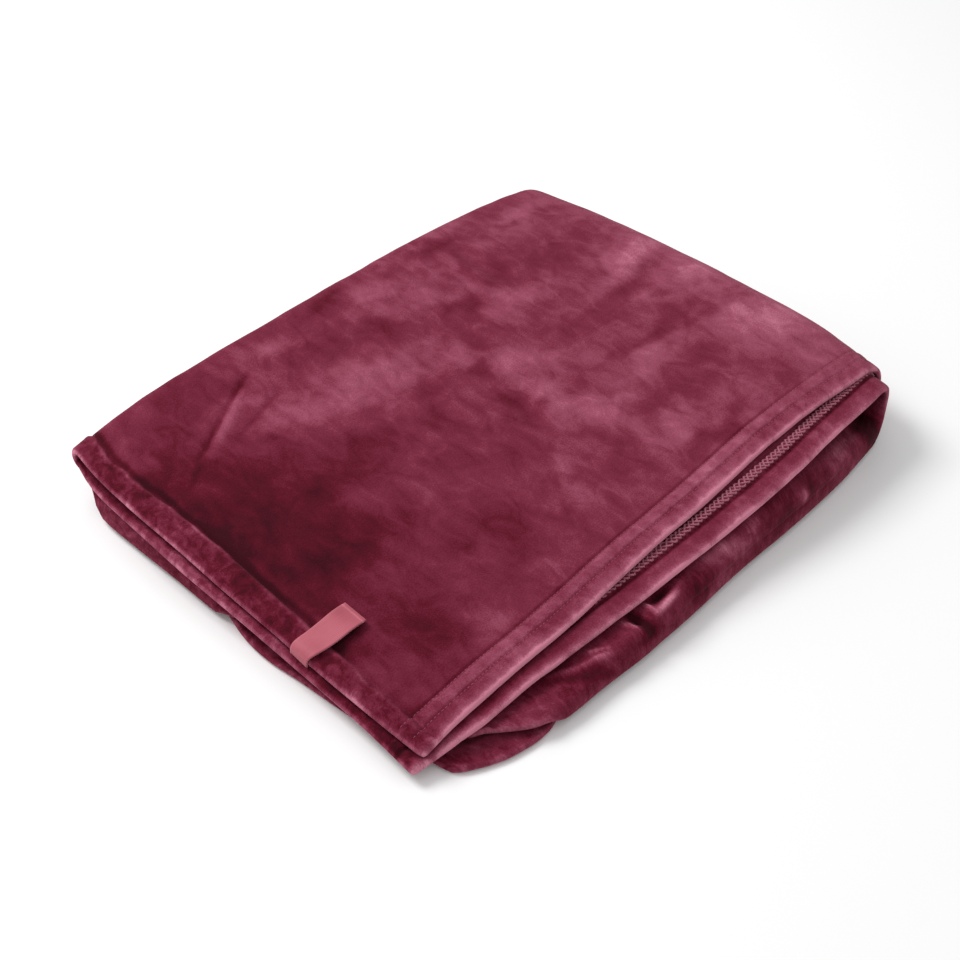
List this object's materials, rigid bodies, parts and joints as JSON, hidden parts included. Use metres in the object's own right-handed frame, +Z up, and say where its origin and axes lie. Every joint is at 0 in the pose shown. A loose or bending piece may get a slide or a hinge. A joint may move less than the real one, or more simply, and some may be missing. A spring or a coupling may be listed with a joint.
{
  "type": "folded throw blanket",
  "caption": "Plush fleece throw blanket folded in half twice into a flat packet, with turned hems and a small ribbon loop label on one hem.",
  "frame": {"origin": "middle of the bounding box's underside, on the surface the folded blanket lies on", "axes": "+Z up, +X from the open end, where the hem with the label is, to the second fold, +Y from the open side to the first fold"},
  "size_m": [0.52, 0.4064, 0.062],
  "materials": {
    "fleece": "plush pile with a mottled nap, very matte with a soft sheen at grazing angles",
    "ribbon": "woven satin ribbon, soft sheen, bare"
  },
  "bodies": {
    "root": {"blanket_cloth": "fleece", "loop_label": "ribbon"}
  },
  "joints": []
}
